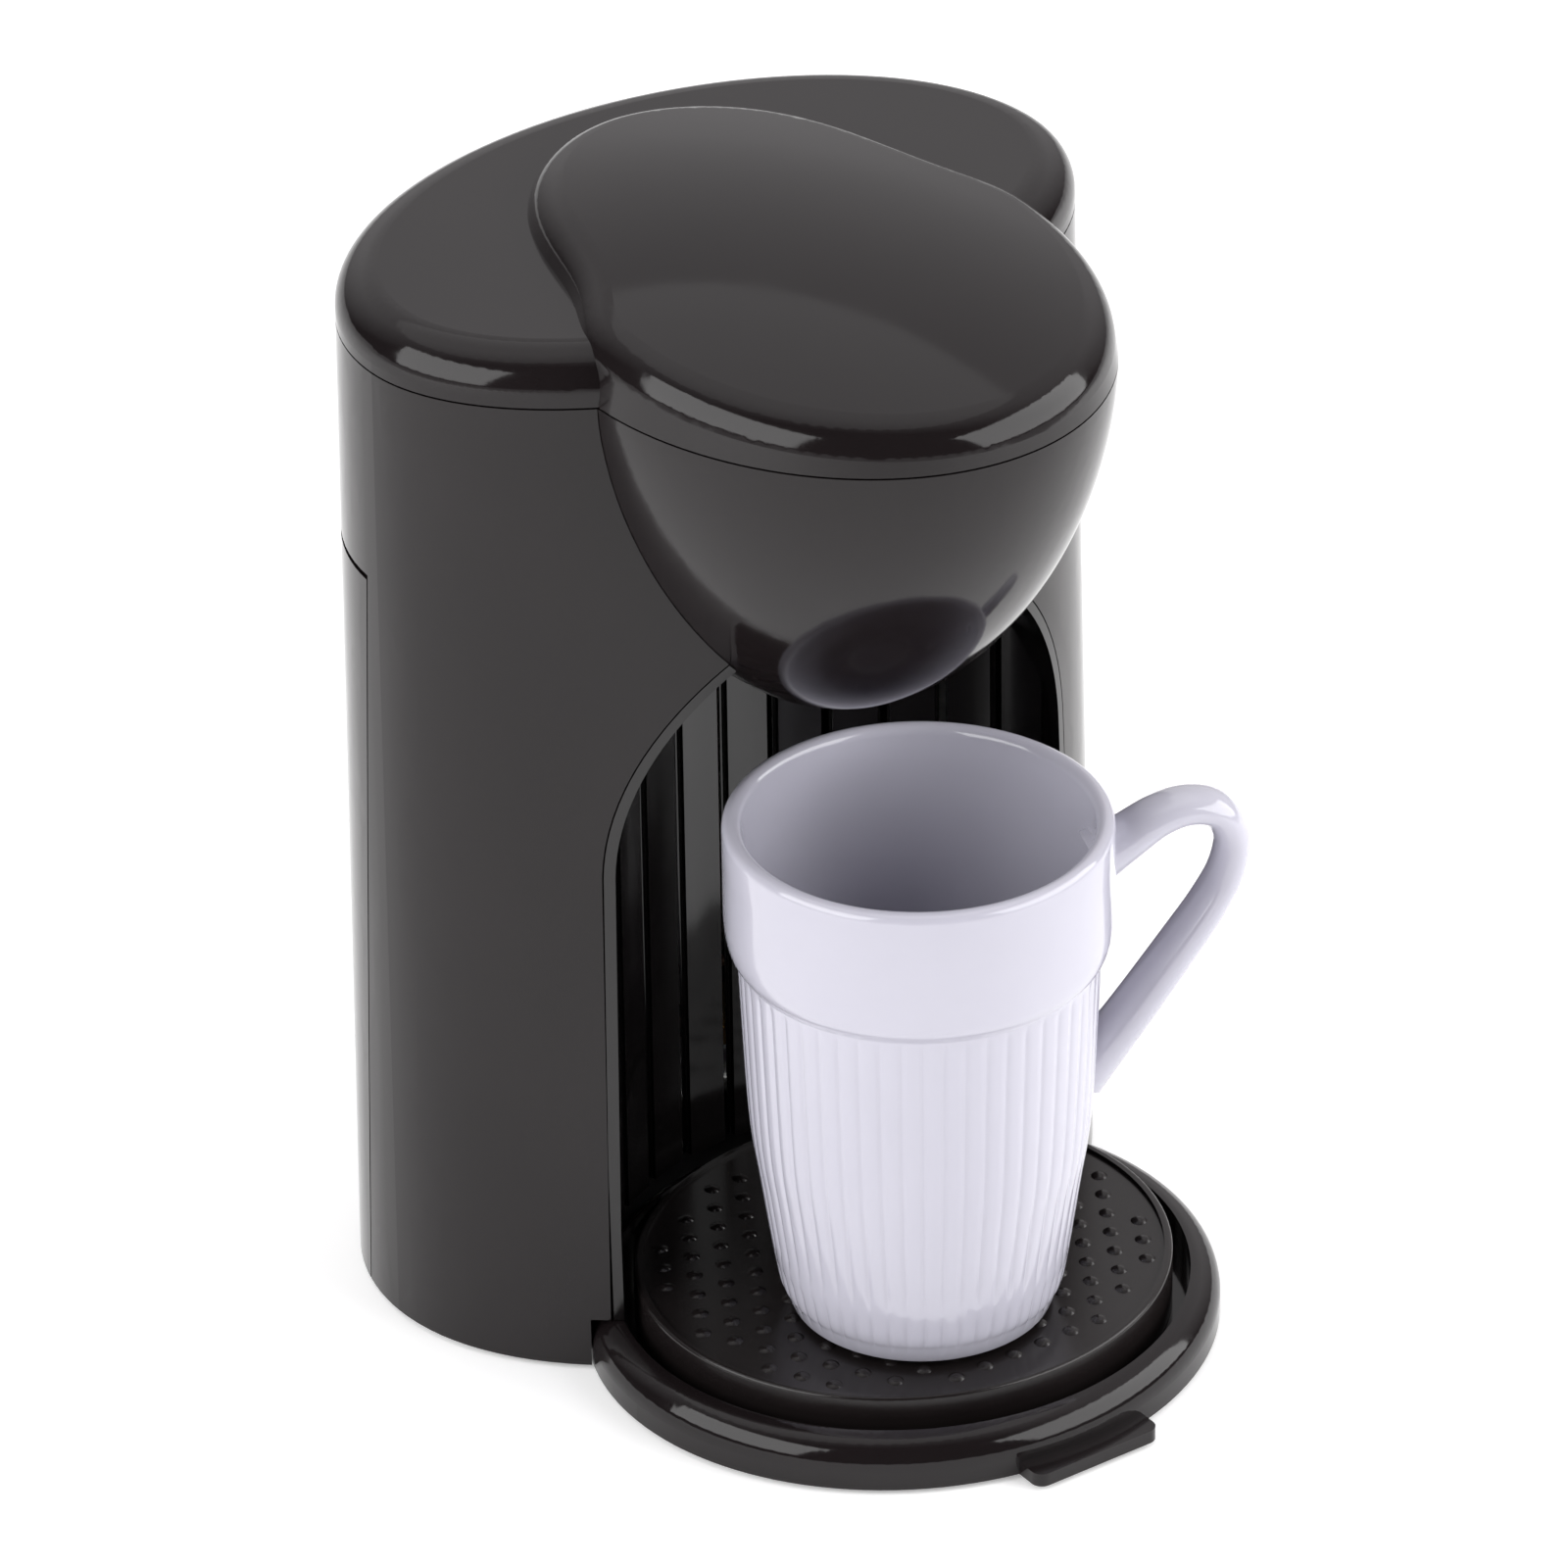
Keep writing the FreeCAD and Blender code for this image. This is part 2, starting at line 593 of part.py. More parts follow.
def build_water_path():
    z = size("heater_z")
    front, rear = size("heater_front_y"), size("valve_y")
    left = size("heater_left_x")
    ends = [Vector(size("heater_rear_x"), rear, z), Vector(left, rear, z), Vector(left, front, z),
            Vector(size("heater_front_x"), front, z)]
    path = bent_path(ends, size("heater_bend"))
    heater = tube_along(path, size("heater_radius"), size("heater_bore"))
    sub_part("heater_tube", feature("HeaterTube", largest(heater)))

    drop = Vector(0, 0, -size("element_drop"))
    legs = [ends[0] + Vector(-14, 0, 0), ends[1], ends[2], ends[3] + Vector(-14, 0, 0)]
    path = bent_path([point + drop for point in legs], size("heater_bend"))
    element = rod_along(path, size("element_radius"))
    for point, way in ((legs[0], 1), (legs[3], 1)):
        element = element.fuse(Part.makeCylinder(1.2, 7, point + drop + Vector(-1, 0, 0),
                                                 Vector(way, 0, 0)))
    sub_part("heating_element", feature("HeatingElement", largest(element)))

    radius, bore = size("hose_radius"), size("hose_bore")
    x = size("valve_x")
    overlap = 9.0
    valve_foot = size("tank_floor") - 9.6 - 14
    path = bent_path([Vector(x, rear, valve_foot - 0.4), Vector(x, rear, z),
                      Vector(size("heater_rear_x") - overlap, rear, z)], size("hose_bend"))
    sub_part("inlet_hose", feature("InletHose", largest(tube_along(path, radius, bore))))

    x = size("riser_x")
    path = bent_path([Vector(size("heater_front_x") - overlap, front, z), Vector(x, front, z),
                      Vector(x, front, size("riser_top"))], size("hose_bend"))
    sub_part("riser_tube", feature("RiserTube", largest(tube_along(path, radius, bore))))
    seal = turned("RiserSeal", [("hose_radius + 0.15", "-2.4"), ("8.4", "-2.4"), ("8.4", "0.2"),
                                ("9.2", "0.2"), ("9.2", "1.0"), ("hose_radius + 0.15", "1.0")],
                  ("riser_x", "riser_y", "deck_top"))
    sub_part("riser_seal", seal)

    ring = [("hose_radius + 0.1", "0"), ("hose_radius + 1.1", "0"), ("hose_radius + 1.1", "6"),
            ("hose_radius + 0.1", "6")]
    clamps = [
        turned("ClampValve", ring, ("valve_x", "valve_y", "tank_floor - 33")),
        turned("ClampHeater", ring, ("heater_rear_x - 8", "valve_y", "heater_z"), ((0, 1, 0), 90)),
        turned("ClampRiser", ring, ("heater_front_x - 8", "heater_front_y", "heater_z"),
               ((0, 1, 0), 90)),
    ]
    sub_part("hose_clamps", group("HoseClamps", clamps))

    low = "plate_bottom + plate_thickness + 0.2"
    top = "heater_z + heater_radius + 0.2"
    mid_y = "(heater_front_y + valve_y) / 2"
    left_x, right_x = "heater_left_x + 10", "heater_left_x + 20"
    foot = block("BracketFoot", (left_x, mid_y + " - 16", low), (right_x, mid_y + " + 16", low + " + 1.5"))
    web = block("BracketWeb", (left_x, mid_y + " - 2", low + " + 1.0"), (right_x, mid_y + " + 2", top + " + 1.0"))
    strap = block("BracketStrap", (left_x, "heater_front_y - 4", top), (right_x, "valve_y + 4", top + " + 1.5"))
    sub_part("heater_bracket", fuse("HeaterBracket", foot, web, strap))


def build_electrics():
    low = "plate_bottom + plate_thickness + 0.2"
    thermostat = turned("ThermostatBody", [("0", "0"), ("8", "0"), ("8", "4"), ("6.5", "4"),
                                           ("6.5", "7"), ("0", "7")],
                        ("heater_left_x + 32", "heater_front_y", "heater_z + heater_radius + 0.2"))
    tab = block("ThermostatTab", ("heater_left_x + 21", "heater_front_y - 2.5", "heater_z + 8.0"),
                ("heater_left_x + 43", "heater_front_y + 2.5", "heater_z + 8.8"))
    sub_part("thermostat", fuse("Thermostat", thermostat, tab))
    sub_part("thermal_fuse", turned("ThermalFuse", [("0", "-6"), ("0.6", "-6"), ("0.6", "0"), ("2.2", "0"),
                                                   ("2.2", "12"), ("0.6", "12"), ("0.6", "18"),
                                                   ("0", "18")],
                                    ("heater_left_x + 4", "valve_y", "heater_z + heater_radius + 4.6"),
                                    ((0, 1, 0), 90)))
    block_low = ("-54", "56", low)
    terminal = block("TerminalBase", block_low, ("-34", "68", low + " + 11"))
    wells = [primitive("Cylinder", "TerminalWell%d" % index, (str(-50.5 + 6.5 * index), "62", low + " + 4"),
                       Radius="2.0", Height="10") for index in range(3)]
    sub_part("terminal_block", cut("TerminalBlock", terminal, *wells))

    spot, outward = inlet_spot()
    turn = Rotation(Vector(0, 0, 1), outward)
    gland = turned("CordGland", [("2.8", "-7"), ("5.6", "-7"), ("5.9", "0.8"), ("9.0", "0.8"),
                                 ("7.6", "2.4"), ("2.8", "2.4")],
                   (str(round(spot.x, 3)), str(round(spot.y, 3)), "inlet_z"), (turn.Axis, math.degrees(turn.Angle)))
    sub_part("cord_gland", gland)
    saddle = block("ClampSaddle", ("-44", "71", low), ("-29", "78", low + " + 7"))
    groove = primitive("Cylinder", "ClampGroove", ("-36.5", "60", low + " + 7"), ((1, 0, 0), -90),
                       Radius="2.8", Height="30")
    sub_part("cord_clamp", cut("CordClamp", saddle, groove))

    wire = 1.2
    z = size("heater_z") + 20
    start = Vector(-44, 62, size("plate_bottom") + size("plate_thickness") + 12)
    live = bent_path([start, Vector(-44, 62, z), Vector(size("switch_face_x") - 26, 38, z),
                      Vector(size("switch_face_x") - 26, 38, 60),
                      Vector(size("switch_face_x") - 26, 30, 60)], 3.5)
    sub_part("live_wire", feature("LiveWire", rod_along(live, wire)))
    start = Vector(-50.5, 62, start.z)
    neutral = bent_path([start, Vector(-50.5, 62, z + 8), Vector(-18, 62, z + 8), Vector(-18, 62, 36)], 5)
    sub_part("neutral_wire", feature("NeutralWire", rod_along(neutral, wire)))

    face = "switch_face_x + 1.4"
    y_low, y_high = "switch_y - switch_half_width", "switch_y + switch_half_width"
    z_low, z_high = "switch_z - switch_half_height", "switch_z + switch_half_height"
    frame = block("BezelFrame", ("switch_face_x - 11", y_low, z_low), (face, y_high, z_high))
    window = block("BezelWindow", ("switch_face_x - 9.5", "switch_y - 4.6", "switch_z - 8.7"),
                   ("switch_face_x + 5", "switch_y + 4.6", "switch_z + 8.7"))
    pivot = ("switch_face_x - 5.5", "switch_y - 5.7", "switch_z")
    holes = primitive("Cylinder", "BezelPivotHoles", pivot, ((1, 0, 0), -90), Radius="1.3", Height="11.4")
    sub_part("switch_bezel", cut("SwitchBezel", frame, window, holes))
    body = block("SwitchBody", ("switch_face_x - 21", "switch_y - 6", "switch_z - 10"),
                 ("switch_face_x - 11.2", "switch_y + 6", "switch_z + 10"))
    sub_part("switch_body", body)

    at = (pivot[0], "switch_y - 4.2", pivot[2])
    drum = primitive("Cylinder", "RockerDrum", at, ((1, 0, 0), -90), Radius="8.2", Height="8.4")
    slab = primitive("Box", "RockerSlab", ("-2", "-5", "-9"), Length="7", Width="10", Height="18")
    pin = primitive("Cylinder", "RockerPin", (pivot[0], "switch_y - 5.3", pivot[2]), ((1, 0, 0), -90),
                    Radius="1.0", Height="10.6")
    tilt = math.radians(size("rocker_tilt"))
    slab.Placement = Placement(Vector(), Rotation(Vector(0, 1, 0), -size("rocker_tilt")))
    back, foot = -2.0, -9.0
    reach = (back * math.cos(tilt) - foot * math.sin(tilt),
             back * math.sin(tilt) + foot * math.cos(tilt))
    slab.setExpression("Placement.Base.x", formula("switch_face_x - 5.5 + %.3f" % reach[0]))
    slab.setExpression("Placement.Base.y", formula("switch_y - 5"))
    slab.setExpression("Placement.Base.z", formula("switch_z + %.3f" % reach[1]))
    sub_part("switch_rocker", fuse("SwitchRocker", common("RockerCap", drum, slab), pin))


def build_feet_and_screws():
    spots = [(-42, -62), (42, -62), (-50, 60), (50, 60)]
    feet = [primitive("Cylinder", "Foot%d" % index, (str(x), str(y), "0"), Radius="foot_radius",
                      Height="foot_height - 0.05") for index, (x, y) in enumerate(spots)]
    sub_part("rubber_feet", group("RubberFeet", feet))
    outline = [("0", "0"), ("screw_head_radius", "0"), ("screw_head_radius", "1.3"),
               ("screw_shank_radius", "1.3"), ("screw_shank_radius", "9"), ("0", "9")]
    screws = [turned("Screw%d" % index, outline, (str(x), str(y), "plate_bottom - 1.4"))
              for index, (x, y) in enumerate(screw_spots())]
    sub_part("bottom_screws", group("BottomScrews", screws))


def build_lid():
    low = size("parting_height") + size("parting_gap") / 2
    top = size("lid_top")
    wall = size("lid_wall")
    edge_radius = size("lid_edge_radius")

    def slab(inset, floor, ceiling):
        shape = oval_prism(size("tower_half_width") - inset, size("tower_rear_depth") - inset,
                           size("tower_front_depth") - inset, size("tower_centre_y"), floor, ceiling)
        rim = [edge for edge in shape.Edges if edge.BoundBox.ZMin > ceiling - 0.01]
        return shape.makeFillet(edge_radius - inset, rim)

    outer = slab(0, low, top).fuse(dome_solid(0, 0))
    inner = slab(wall, low - 2, top - wall).fuse(dome_solid(wall, wall))
    lid = largest(outer.cut(inner)).cut(hinge_relief("tower"))
    knuckles = []
    for low_x, high_x in hinge_spans("lid"):
        axis_at = Vector(low_x, size("hinge_y"), size("hinge_z"))
        barrel = Part.makeCylinder(size("knuckle_radius"), high_x - low_x, axis_at, Vector(1, 0, 0))
        rear = size("tower_centre_y") + size("tower_rear_depth") - wall
        web = Part.makeBox(high_x - low_x, size("hinge_y") - rear,
                           size("hinge_z") + size("knuckle_radius") - low, Vector(low_x, rear, low))
        knuckles.append(barrel.fuse(web))
    lid = lid.fuse(knuckles)
    bore = Part.makeCylinder(size("pin_radius") + 0.35, 80, Vector(-40, size("hinge_y"), size("hinge_z")),
                             Vector(1, 0, 0))
    sub_part("lid_cover", feature("LidCover", largest(lid.cut(bore))))
    pin = primitive("Cylinder", "LidHingePin", ("-22", "hinge_y", "hinge_z"), ((0, 1, 0), 90),
                    Radius="pin_radius", Height="44")
    sub_part("lid_hinge_pin", pin)

    channel_z = 229.0
    start = Vector(size("riser_x"), size("riser_y"), low - 0.1)
    end = Vector(0, size("outlet_y"), low)
    path = bent_path([start, Vector(start.x, start.y, channel_z), Vector(end.x, end.y, channel_z), end], 3.6)
    channel = tube_along(path, 3.4, 2.2)
    sub_part("lid_channel", feature("LidChannel", largest(channel)))
    rose = turned("ShowerRose", [("0", "0"), ("30", "0"), ("30", "3.0"), ("28.8", "3.0"),
                                 ("28.8", "1.2"), ("0", "1.2")], ("0", "outlet_y", "basket_top + 1.9"))
    holes = []
    for ring in range(1, 4):
        for index in range(6 * ring):
            angle = 2 * math.pi * index / (6 * ring)
            x = 8.0 * ring * math.cos(angle)
            y = size("outlet_y") + 8.0 * ring * math.sin(angle)
            holes.append(primitive("Cylinder", "RoseHole%d_%d" % (ring, index),
                                   (str(round(x, 3)), str(round(y, 3)), "basket_top + 1"),
                                   Radius="1.2", Height="4"))
    sub_part("shower_plate", cut("ShowerPlate", rose, *holes))


def build_basket():
    top = "basket_top"
    wall = "basket_wall"
    outline = [("basket_neck_radius", "144"), ("basket_neck_radius", "152"), ("12", "153"),
               ("25", "162"), ("36", "181"), ("41.5", "200"), ("basket_radius", top),
               ("basket_radius - " + wall, top), ("41.5 - " + wall, "200.4"),
               ("36 - " + wall, "181.8"), ("25 - " + wall, "163.2"), ("12 - " + wall, "154.8"),
               ("basket_neck_radius - " + wall, "154.2"), ("basket_neck_radius - " + wall, "144")]
    sub_part("filter_basket", turned("FilterBasket", outline, ("0", "outlet_y", "0")))

    foot, foot_r, head, head_r = "filter_foot", "filter_foot_radius", "filter_top", "filter_radius"
    mesh = [("0", foot), (foot_r, foot), (head_r, head + " - 3"),
            (head_r + " - mesh_thickness", head + " - 3"), (foot_r + " - 0.5", foot + " + mesh_thickness"),
            ("0", foot + " + mesh_thickness")]
    sub_part("filter_mesh", turned("FilterMesh", mesh, ("0", "outlet_y", "0")))
    rim = turned("MeshRim", [(head_r + " - 2.5", head + " - 2.9"), (head_r + " + 0.6", head + " - 2.9"),
                             (head_r + " + 0.6", head), (head_r + " - 2.5", head)],
                 ("0", "outlet_y", "0"))
    bar = block("MeshHandle", ("-" + head_r + " + 1", "outlet_y - 3", head + " - 1.6"),
                (head_r + " - 1", "outlet_y + 3", head))
    sub_part("mesh_frame", fuse("MeshFrame", rim, bar))


def build_tray():
    width, depth = size("tray_half_width"), size("tray_half_depth")
    y = size("tray_centre_y")
    low, rim, floor = size("tray_bottom"), size("tray_rim_top"), size("tray_floor_top")
    wall = size("tray_wall")
    lip = size("tray_rim_width")
    tray = oval_prism(width, depth, depth, y, low, rim)
    edges = [edge for edge in tray.Edges if edge.BoundBox.ZMin > rim - 0.01]
    tray = tray.makeFillet(0.8, edges)
    tray = tray.cut(oval_prism(width - lip, depth - lip, depth - lip, y, floor, rim + 2))
    tray = tray.cut(oval_prism(width - wall, depth - wall, depth - wall, y, low - 1, floor - wall))
    pitch = size("dimple_pitch")
    radius, height = size("dimple_radius"), size("dimple_height")
    ball = (radius ** 2 + height ** 2) / (2 * height)
    bump = Part.makeSphere(ball, Vector(), Vector(0, 0, 1), 0, 90, 360)
    bump = bump.common(Part.makeCylinder(10, 10, Vector(0, 0, ball - height - 0.1)))
    bumps = []
    row_step = pitch * math.sqrt(3) / 2
    rows = int(depth / row_step)
    for row in range(-rows, rows + 1):
        for column in range(-9, 10):
            x = (column + 0.5 * (row % 2)) * pitch
            along = row * row_step
            reach = 1 - (radius + lip + 1.2) / depth
            if math.hypot(x / width, along / depth) < reach:
                copy = bump.copy()
                copy.translate(Vector(x, y + along, floor - ball + height))
                bumps.append(copy)
    sub_part("drip_tray", feature("DripTray", largest(tray.fuse(bumps))))


def build_mug():
    foot = size("mug_foot_z")
    top = foot + size("mug_height")
    radius = size("mug_radius")
    wall = size("mug_wall")
    lip = 2.0

    def wall_curve(points):
        curve = Part.BSplineCurve()
        curve.interpolate([Vector(r, 0, z) for r, z in points])
        return curve.toShape()

    # outer (radius, height) from the foot to the shoulder under the smooth band
    body = [(27.6, foot + 0.8), (30.2, foot + 8.7), (33.4, foot + 30), (35.6, foot + 47),
            (37.2, foot + 80)]
    shoulder_low, shoulder_high = foot + 80, foot + 84
    lip_centre = top - lip
    inside = [(radius - 2 * lip, lip_centre), (radius - 2 * lip, shoulder_low), (31.0, foot + 30),
              (26.0, foot + 10), (22.0, foot + 6)]
    edges = [
        Part.makeLine(Vector(0, 0, foot), Vector(26.8, 0, foot)),
        Part.makeLine(Vector(26.8, 0, foot), Vector(27.6, 0, foot + 0.8)),
        wall_curve(body),
        Part.makeLine(Vector(37.2, 0, shoulder_low), Vector(radius, 0, shoulder_high)),
        Part.makeLine(Vector(radius, 0, shoulder_high), Vector(radius, 0, lip_centre)),
        Part.Arc(Vector(radius, 0, lip_centre), Vector(radius - lip, 0, top),
                 Vector(radius - 2 * lip, 0, lip_centre)).toShape(),
        wall_curve(inside),
        Part.makeLine(Vector(22.0, 0, foot + 6), Vector(0, 0, foot + 6)),
        Part.makeLine(Vector(0, 0, foot + 6), Vector(0, 0, foot)),
    ]
    half = Part.Face(Part.Wire(edges))
    mug = half.revolve(Vector(), Vector(0, 0, 1), 360)
    # (distance from the axis, height below the top) along the middle of the ear-shaped handle
    ear = [(38.0, -16), (43.9, -13.5), (52.2, -6.8), (59.0, -4.6), (66.0, -6.6), (70.1, -15.0),
           (68.5, -24.0), (64.0, -31.5), (58.3, -39.3), (46.7, -55.1), (39.5, -63.6), (36.0, -68.5)]
    spine = Part.BSplineCurve()
    spine.interpolate([Vector(r, 0, top + z) for r, z in ear])
    start = Vector(ear[0][0], 0, top + ear[0][1])
    heading = spine.tangent(spine.FirstParameter)[0]
    across = Vector(0, 1, 0)
    ring = Part.Ellipse(start + across * 5.4, start + heading.cross(across) * 3.9, start)
    handle = Part.Wire([spine.toShape()]).makePipeShell([Part.Wire([ring.toShape()])], True, False)
    cavity_wire = Part.Wire([wall_curve(inside), edges[7],
                             Part.makeLine(Vector(0, 0, foot + 6), Vector(0, 0, lip_centre)),
                             Part.makeLine(Vector(0, 0, lip_centre), Vector(*inside[0][:1], 0, lip_centre))])
    cavity = Part.Face(cavity_wire).revolve(Vector(), Vector(0, 0, 1), 360)
    handle = handle.cut(cavity)
    for shape in (mug, handle):
        shape.rotate(Vector(), Vector(0, 0, 1), size("handle_turn"))
        shape.translate(Vector(size("mug_x"), size("mug_y"), 0))
    sub_part("mug", feature("Mug", largest(mug.fuse(handle))))


build_housing()
build_bay()
build_base()
build_head()
build_tank()
build_water_path()
build_electrics()
build_feet_and_screws()
build_lid()
build_basket()
build_tray()
build_mug()
doc.recompute()

for item in doc.Objects:
    if "Invalid" in item.State or "Error" in item.State:
        raise RuntimeError("%s does not recompute: %s" % (item.Name, item.State))
os.makedirs("parts", exist_ok=True)
for piece in sub_parts:
    shape = piece.Shape
    if shape.isNull() or not shape.isValid():
        raise RuntimeError("%s has no valid shape" % piece.Label)
    box = shape.BoundBox
    print("%-18s solids %d  x %.1f %.1f  y %.1f %.1f  z %.1f %.1f  volume %.1f" % (
        piece.Label, len(shape.Solids), box.XMin, box.XMax, box.YMin, box.YMax, box.ZMin, box.ZMax,
        shape.Volume / 1000))
    shape.exportStep("parts/%s.step" % piece.Label)
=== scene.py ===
"""Looks for the one-cup drip coffee maker: materials, the fluted mug, a studio and the camera."""

import json
import math

import bmesh
import bpy
from mathutils import Matrix, Vector


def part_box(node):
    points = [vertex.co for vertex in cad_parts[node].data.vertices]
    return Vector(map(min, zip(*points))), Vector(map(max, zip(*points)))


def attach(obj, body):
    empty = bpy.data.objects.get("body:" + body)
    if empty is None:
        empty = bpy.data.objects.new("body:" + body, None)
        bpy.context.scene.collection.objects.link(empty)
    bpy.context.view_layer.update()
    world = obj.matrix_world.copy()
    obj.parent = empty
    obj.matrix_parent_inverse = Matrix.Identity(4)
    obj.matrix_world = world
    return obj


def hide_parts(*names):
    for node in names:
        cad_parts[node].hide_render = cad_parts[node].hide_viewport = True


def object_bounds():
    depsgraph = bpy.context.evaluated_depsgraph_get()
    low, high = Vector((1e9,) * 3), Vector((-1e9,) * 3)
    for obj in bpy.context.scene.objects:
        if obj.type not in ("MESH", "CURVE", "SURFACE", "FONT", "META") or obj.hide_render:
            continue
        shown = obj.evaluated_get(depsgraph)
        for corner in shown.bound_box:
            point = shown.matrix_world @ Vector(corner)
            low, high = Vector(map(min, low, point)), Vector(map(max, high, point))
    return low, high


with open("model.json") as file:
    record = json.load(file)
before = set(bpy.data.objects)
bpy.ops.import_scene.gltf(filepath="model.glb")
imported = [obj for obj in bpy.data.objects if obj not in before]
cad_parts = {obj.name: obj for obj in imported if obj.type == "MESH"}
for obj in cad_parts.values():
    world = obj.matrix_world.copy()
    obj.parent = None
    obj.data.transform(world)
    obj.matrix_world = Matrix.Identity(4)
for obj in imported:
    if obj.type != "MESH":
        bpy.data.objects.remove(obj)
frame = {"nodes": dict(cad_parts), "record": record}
CAD_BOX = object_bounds()
MM = 0.001

# the mug, in millimetres: the rim's radius, the round of its lip and the ribs round its wall
MUG_RADIUS = 40.0
LIP_RADIUS = 2.0
LIP_SHRINK = 0.03  # keeps the lip's facets inside the CAD mug
BAND_HEIGHT = 83.8  # of the step under the smooth band, over the foot
FLUTES = 52
FLUTE_DEPTH = 0.36
HANDLE_TURN = math.radians(-20.6)

# the long-lens camera, in metres and degrees
CAMERA_PLACE = (-0.9834, -1.4161, 1.1262)
CAMERA_AZIMUTH, CAMERA_PITCH, CAMERA_ROLL = 34.56, 30.36, -0.8685
SENSOR_WIDTH, LENS = 36.0, 221.79

FLOOR_GAP = 0.0002  # between the rubber feet and the studio floor, in metres


# ---------------------------------------------------------------- mesh helpers

def mesh_piece(name, bm, smooth_angle=35.0):
    """An object from a bmesh, shaded smooth except at edges sharper than smooth_angle."""
    bmesh.ops.recalc_face_normals(bm, faces=bm.faces)
    mesh = bpy.data.meshes.new(name)
    bm.to_mesh(mesh)
    bm.free()
    piece = bpy.data.objects.new(name, mesh)
    bpy.context.scene.collection.objects.link(piece)
    smooth(piece, smooth_angle)
    return piece


def smooth(piece, angle):
    """Smooth shading with sharp edges above an angle, without moving any point."""
    mesh = piece.data
    for face in mesh.polygons:
        face.use_smooth = True
    mesh.set_sharp_from_angle(angle=math.radians(angle))


def lathe(bm, profile, segments, centre, ripple):
    """Turns (radius, height) pairs round a vertical axis; ripple(angle, radius, z) moves radii."""
    rings = []
    for radius, z in profile:
        if radius < 1e-6:
            rings.append([bm.verts.new((centre[0], centre[1], z))])
            continue
        ring = []
        for index in range(segments):
            angle = 2 * math.pi * index / segments
            reach = radius + ripple(angle, radius, z)
            ring.append(bm.verts.new((centre[0] + reach * math.cos(angle),
                                      centre[1] + reach * math.sin(angle), z)))
        rings.append(ring)
    for low, high in zip(rings, rings[1:]):
        for index in range(segments):
            after = (index + 1) % segments
            if len(low) == 1:
                bm.faces.new((low[0], high[index], high[after]))
            elif len(high) == 1:
                bm.faces.new((low[index], low[after], high[0]))
            else:
                bm.faces.new((low[index], low[after], high[after], high[index]))


def curve_through(points, steps):
    """A smooth Catmull-Rom line through points (tuples of any length), steps between each pair."""
    padded = [points[0]] + list(points) + [points[-1]]
    line = []
    for a, b, c, d in zip(padded, padded[1:], padded[2:], padded[3:]):
        for step in range(steps):
            t = step / steps
            line.append(tuple(
                0.5 * (2 * q + (r - p) * t + (2 * p - 5 * q + 4 * r - s) * t ** 2
                       + (3 * q - p - 3 * r + s) * t ** 3)
                for p, q, r, s in zip(a, b, c, d)))
    line.append(tuple(points[-1]))
    return line


# ---------------------------------------------------------------- materials

def material(name):
    """A new node material; returns it with its tree and shader."""
    mat = bpy.data.materials.new(name)
    mat.use_nodes = True
    tree = mat.node_tree
    return mat, tree, tree.nodes["Principled BSDF"]


def noise(tree, scale, detail=3.0, stretch=(1, 1, 1)):
    """A noise value between 0 and 1 in the object's own space."""
    coords = tree.nodes.new("ShaderNodeTexCoord")
    mapping = tree.nodes.new("ShaderNodeMapping")
    mapping.inputs["Scale"].default_value = stretch
    node = tree.nodes.new("ShaderNodeTexNoise")
    node.inputs["Scale"].default_value = scale
    node.inputs["Detail"].default_value = detail
    tree.links.new(coords.outputs["Object"], mapping.inputs["Vector"])
    tree.links.new(mapping.outputs["Vector"], node.inputs["Vector"])
    return node.outputs["Fac"]


def ramp(tree, source, low, high, start=0.3, end=0.7):
    """Colour between low and high as the source goes from start to end."""
    node = tree.nodes.new("ShaderNodeValToRGB")
    node.color_ramp.elements[0].position = start
    node.color_ramp.elements[0].color = (*low, 1)
    node.color_ramp.elements[1].position = end
    node.color_ramp.elements[1].color = (*high, 1)
    tree.links.new(source, node.inputs["Fac"])
    return node.outputs["Color"]


def spread(tree, source, low, high):
    """A number between low and high that follows the source."""
    node = tree.nodes.new("ShaderNodeMapRange")
    node.inputs["From Min"].default_value = 0.25
    node.inputs["From Max"].default_value = 0.75
    node.inputs["To Min"].default_value = low
    node.inputs["To Max"].default_value = high
    tree.links.new(source, node.inputs["Value"])
    return node.outputs["Result"]


def bumped(tree, shader, height, distance):
    """Gives the shader a relief of a given depth, in metres."""
    bump = tree.nodes.new("ShaderNodeBump")
    bump.inputs["Strength"].default_value = 1.0
    bump.inputs["Distance"].default_value = distance
    tree.links.new(height, bump.inputs["Height"])
    tree.links.new(bump.outputs["Normal"], shader.inputs["Normal"])


def surface(name, dark, light, rough, grain=260.0, bump_mm=0.0, metallic=0.0, ior=1.5,
            coat=0.0, stretch=(1, 1, 1), transmission=0.0):
    """A moulded, cast or drawn surface: clouded colour, uneven gloss and a fine relief."""
    mat, tree, shader = material(name)
    broad = noise(tree, 18.0, 4.0)
    tree.links.new(ramp(tree, broad, dark, light), shader.inputs["Base Color"])
    fine = noise(tree, grain, 4.0, stretch)
    tree.links.new(spread(tree, noise(tree, 35.0, 5.0), *rough), shader.inputs["Roughness"])
    if bump_mm:
        bumped(tree, shader, fine, bump_mm * MM)
    shader.inputs["Metallic"].default_value = metallic
    shader.inputs["IOR"].default_value = ior
    shader.inputs["Coat Weight"].default_value = coat
    shader.inputs["Coat Roughness"].default_value = 0.03
    shader.inputs["Transmission Weight"].default_value = transmission
    return mat


